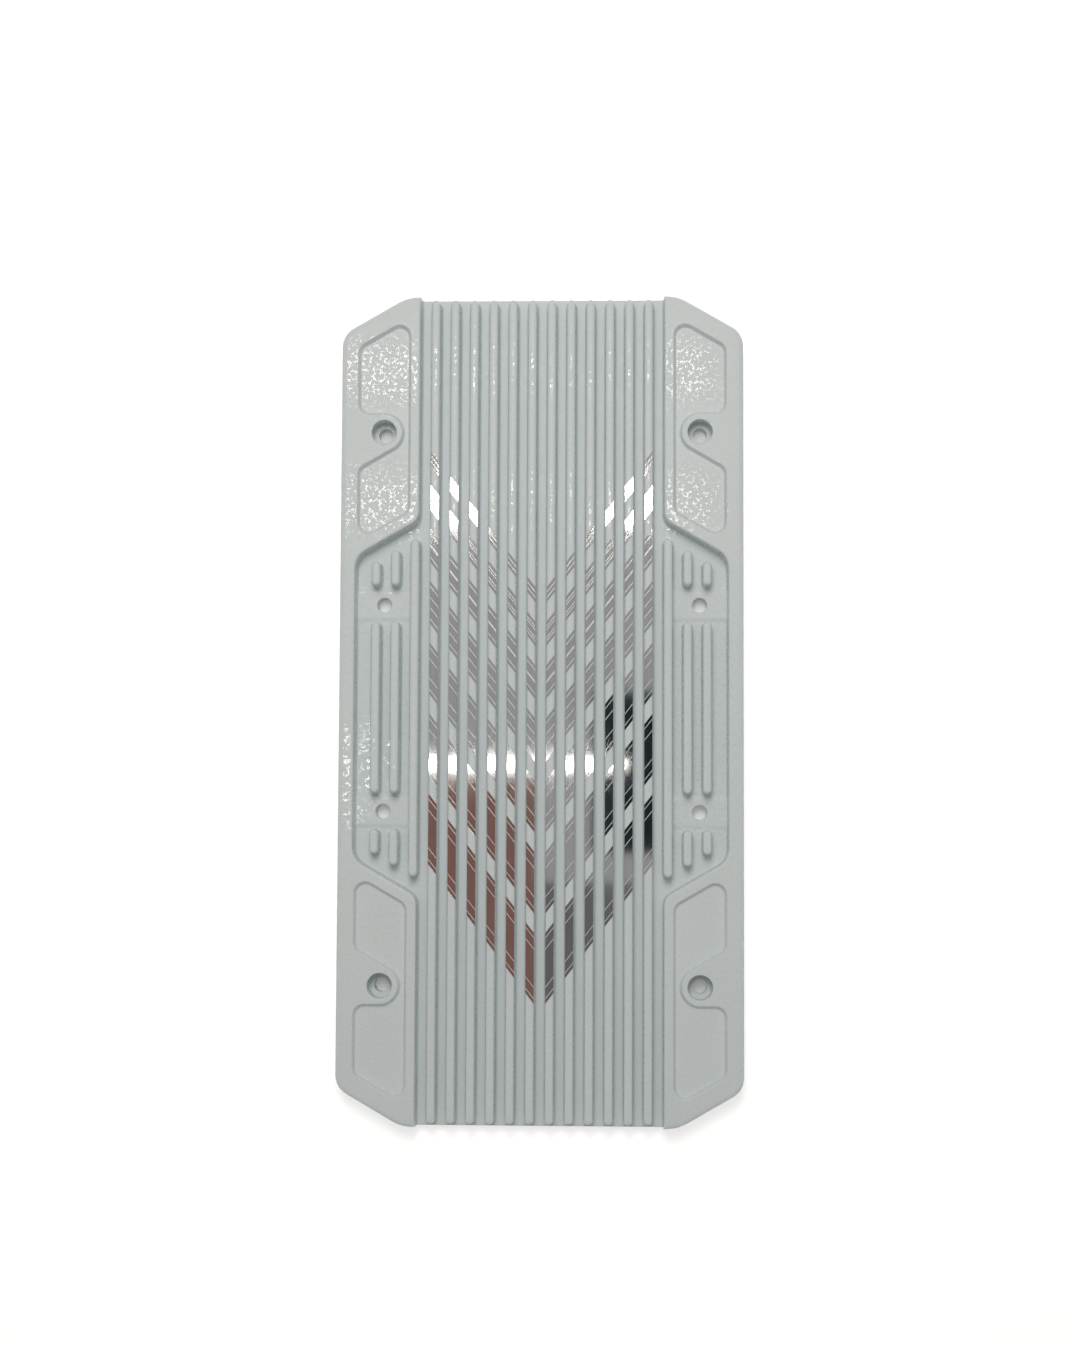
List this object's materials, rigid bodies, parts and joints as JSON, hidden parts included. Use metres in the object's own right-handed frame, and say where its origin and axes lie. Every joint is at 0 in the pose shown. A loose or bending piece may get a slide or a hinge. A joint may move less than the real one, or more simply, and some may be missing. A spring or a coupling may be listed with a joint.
{
  "type": "heat sink",
  "caption": "Long cast aluminium heat sink plate with lengthwise ribs, raised corner blocks with pockets, and counterbored screw holes.",
  "frame": {"origin": "centre of the flat back face, which is the bottom of the bounding box", "axes": "+Z square to the back, towards the ribs; +Y along the ribs; +X across them"},
  "size_m": [0.098, 0.2014, 0.0092],
  "materials": {
    "powder_coat": "gloss orange peel powder coat, off-white",
    "milled_aluminium": "bright milled"
  },
  "bodies": {
    "root": {"heat_sink": "powder_coat"}
  },
  "joints": []
}
